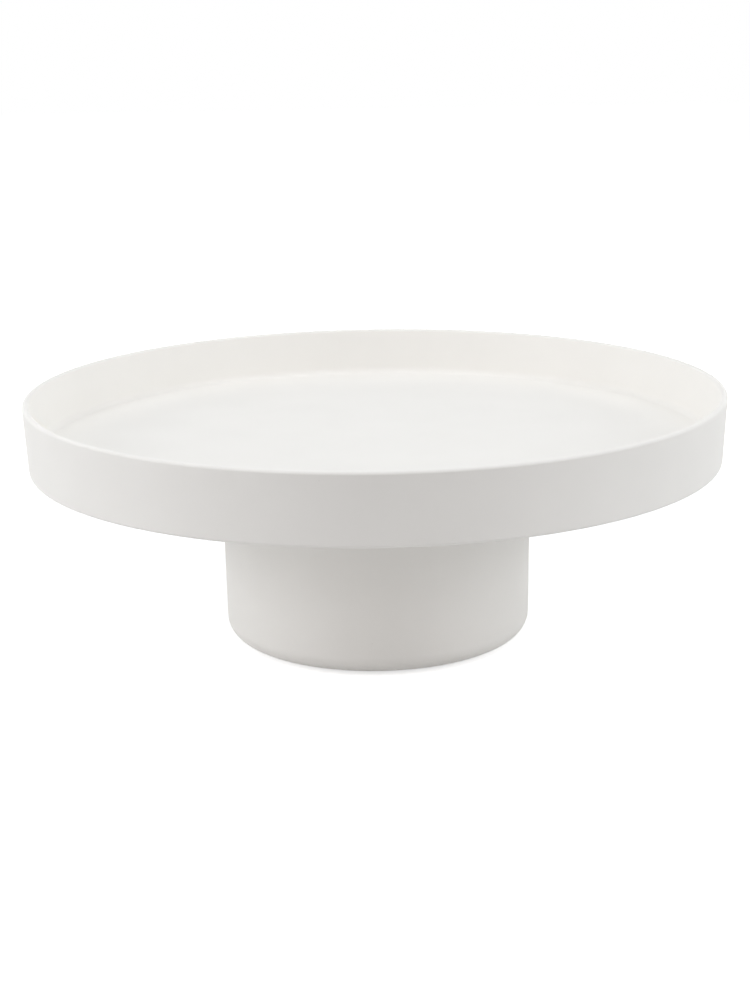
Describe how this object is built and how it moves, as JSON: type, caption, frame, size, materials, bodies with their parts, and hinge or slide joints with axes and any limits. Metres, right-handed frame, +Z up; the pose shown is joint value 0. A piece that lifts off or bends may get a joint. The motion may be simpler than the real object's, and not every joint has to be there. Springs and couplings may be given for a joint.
{
  "type": "lazy susan turntable",
  "caption": "Wide round dish with a straight raised rim that spins freely on a drum-shaped pedestal with a ball race.",
  "frame": {"origin": "centre of the base, on the surface that the turntable stands on", "axes": "+Z up along the spin axis; X and Y run through the deck screws"},
  "size_m": [0.2998, 0.2998, 0.1085],
  "materials": {
    "dish": "matt white moulded ABS with a fine spark-eroded texture",
    "pedestal_drum": "matt white moulded ABS with a fine spark-eroded texture",
    "pedestal_deck": "plain moulded ABS, natural white",
    "deck_screws": "zinc-plated steel",
    "foot_ring": "pale grey silicone rubber, matt",
    "ballast_plate": "laser-cut mild steel, oiled",
    "ballast_pad": "black closed-cell foam",
    "ballast_screws": "zinc-plated steel",
    "lower_race": "pressed zinc-plated steel",
    "lower_race_screws": "zinc-plated steel",
    "upper_race": "pressed zinc-plated steel",
    "upper_race_screws": "zinc-plated steel",
    "ball_cage": "natural nylon",
    "bearing_balls": "polished bearing steel",
    "axle_bush": "natural acetal",
    "hub_insert": "turned brass",
    "axle_bolt": "turned and zinc-plated steel",
    "thrust_washer": "natural nylon",
    "flat_washer": "zinc-plated steel",
    "disc_spring": "phosphated spring steel"
  },
  "bodies": {
    "pedestal": {"pedestal_drum": "pedestal_drum", "pedestal_deck": "pedestal_deck", "deck_screws": "deck_screws", "foot_ring": "foot_ring", "ballast_plate": "ballast_plate", "ballast_pad": "ballast_pad", "ballast_screws": "ballast_screws", "lower_race": "lower_race", "lower_race_screws": "lower_race_screws", "axle_bush": "axle_bush"},
    "turning_dish": {"dish": "dish", "upper_race": "upper_race", "upper_race_screws": "upper_race_screws", "hub_insert": "hub_insert", "axle_bolt": "axle_bolt", "thrust_washer": "thrust_washer", "flat_washer": "flat_washer", "disc_spring": "disc_spring"},
    "cage": {"ball_cage": "ball_cage", "bearing_balls": "bearing_balls"}
  },
  "joints": [
    {"name": "dish_spin", "type": "hinge", "parent": "pedestal", "child": "turning_dish", "pos_m": [0, 0, 0.0769], "axis": [0, 0, 1], "continuous": true},
    {"name": "cage_spin", "type": "hinge", "parent": "pedestal", "child": "cage", "pos_m": [0, 0, 0.0769], "axis": [0, 0, 1], "continuous": true}
  ],
  "couplings": [
    {"joint": "cage_spin", "follows": "dish_spin", "ratio": 0.5}
  ]
}
